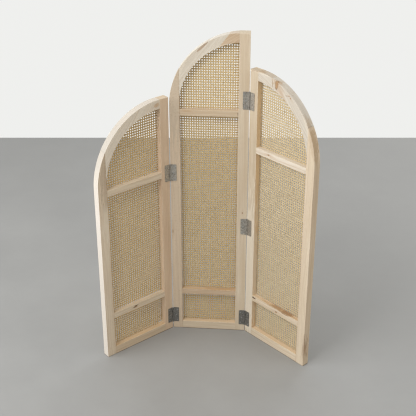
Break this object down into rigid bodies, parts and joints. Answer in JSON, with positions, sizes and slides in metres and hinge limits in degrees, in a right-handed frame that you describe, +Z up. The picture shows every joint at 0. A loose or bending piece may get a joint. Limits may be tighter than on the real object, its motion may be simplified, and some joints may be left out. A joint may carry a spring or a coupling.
{
  "type": "folding room divider",
  "caption": "Free-standing folding screen of three quarter-arched timber frames filled with woven cane, joined at their edges by butt hinges.",
  "frame": {"origin": "middle of the centre panel's underside, on the floor, half-way through its thickness", "axes": "+Z up along the height; the hollow side of the fold faces -Y; +X runs along the centre panel towards its full-height stile and the taller wing"},
  "size_m": [1.1125, 0.3542, 1.74],
  "materials": {
    "timber": "sanded raw softwood, matt",
    "bead_timber": "planed raw softwood, matt",
    "dowel_timber": "fluted beech dowel, matt",
    "cane": "natural woven cane, slightly glossy skin",
    "hinge_steel": "dull zinc-plated steel",
    "bright_steel": "zinc-plated steel"
  },
  "bodies": {
    "centre": {"centre_tall_stile": "timber", "centre_arched_stile": "timber", "centre_arch_board": "timber", "centre_head_block": "timber", "centre_upper_rail": "timber", "centre_lower_rail": "timber", "centre_bottom_rail": "timber", "centre_cane": "cane", "centre_tall_bead": "bead_timber", "centre_arched_bead": "bead_timber", "centre_curved_bead": "bead_timber", "centre_bottom_bead": "bead_timber", "centre_dowels": "dowel_timber", "centre_brads": "bright_steel", "centre_staples": "bright_steel", "centre_screws": "bright_steel", "left_joint_low_centre_leaf": "hinge_steel", "left_joint_top_centre_leaf": "hinge_steel", "left_joint_pins": "hinge_steel", "right_joint_low_centre_leaf": "hinge_steel", "right_joint_mid_centre_leaf": "hinge_steel", "right_joint_top_centre_leaf": "hinge_steel", "right_joint_pins": "hinge_steel"},
    "left": {"left_tall_stile": "timber", "left_arched_stile": "timber", "left_arch_board": "timber", "left_head_block": "timber", "left_upper_rail": "timber", "left_lower_rail": "timber", "left_bottom_rail": "timber", "left_cane": "cane", "left_tall_bead": "bead_timber", "left_arched_bead": "bead_timber", "left_curved_bead": "bead_timber", "left_bottom_bead": "bead_timber", "left_dowels": "dowel_timber", "left_brads": "bright_steel", "left_staples": "bright_steel", "left_screws": "bright_steel", "left_joint_low_wing_leaf": "hinge_steel", "left_joint_top_wing_leaf": "hinge_steel"},
    "right": {"right_tall_stile": "timber", "right_arched_stile": "timber", "right_arch_board": "timber", "right_head_block": "timber", "right_upper_rail": "timber", "right_lower_rail": "timber", "right_bottom_rail": "timber", "right_cane": "cane", "right_tall_bead": "bead_timber", "right_arched_bead": "bead_timber", "right_curved_bead": "bead_timber", "right_bottom_bead": "bead_timber", "right_dowels": "dowel_timber", "right_brads": "bright_steel", "right_staples": "bright_steel", "right_screws": "bright_steel", "right_joint_low_wing_leaf": "hinge_steel", "right_joint_mid_wing_leaf": "hinge_steel", "right_joint_top_wing_leaf": "hinge_steel"}
  },
  "joints": [
    {"name": "left_wing_hinge", "type": "hinge", "parent": "centre", "child": "left", "pos_m": [-0.20325, -0.0238, 0.5], "axis": [0, 0, 1], "range_deg": [-44.5, 71.5]},
    {"name": "right_wing_hinge", "type": "hinge", "parent": "centre", "child": "right", "pos_m": [0.20325, -0.0238, 0.7], "axis": [0, 0, -1], "range_deg": [-43, 73]}
  ]
}
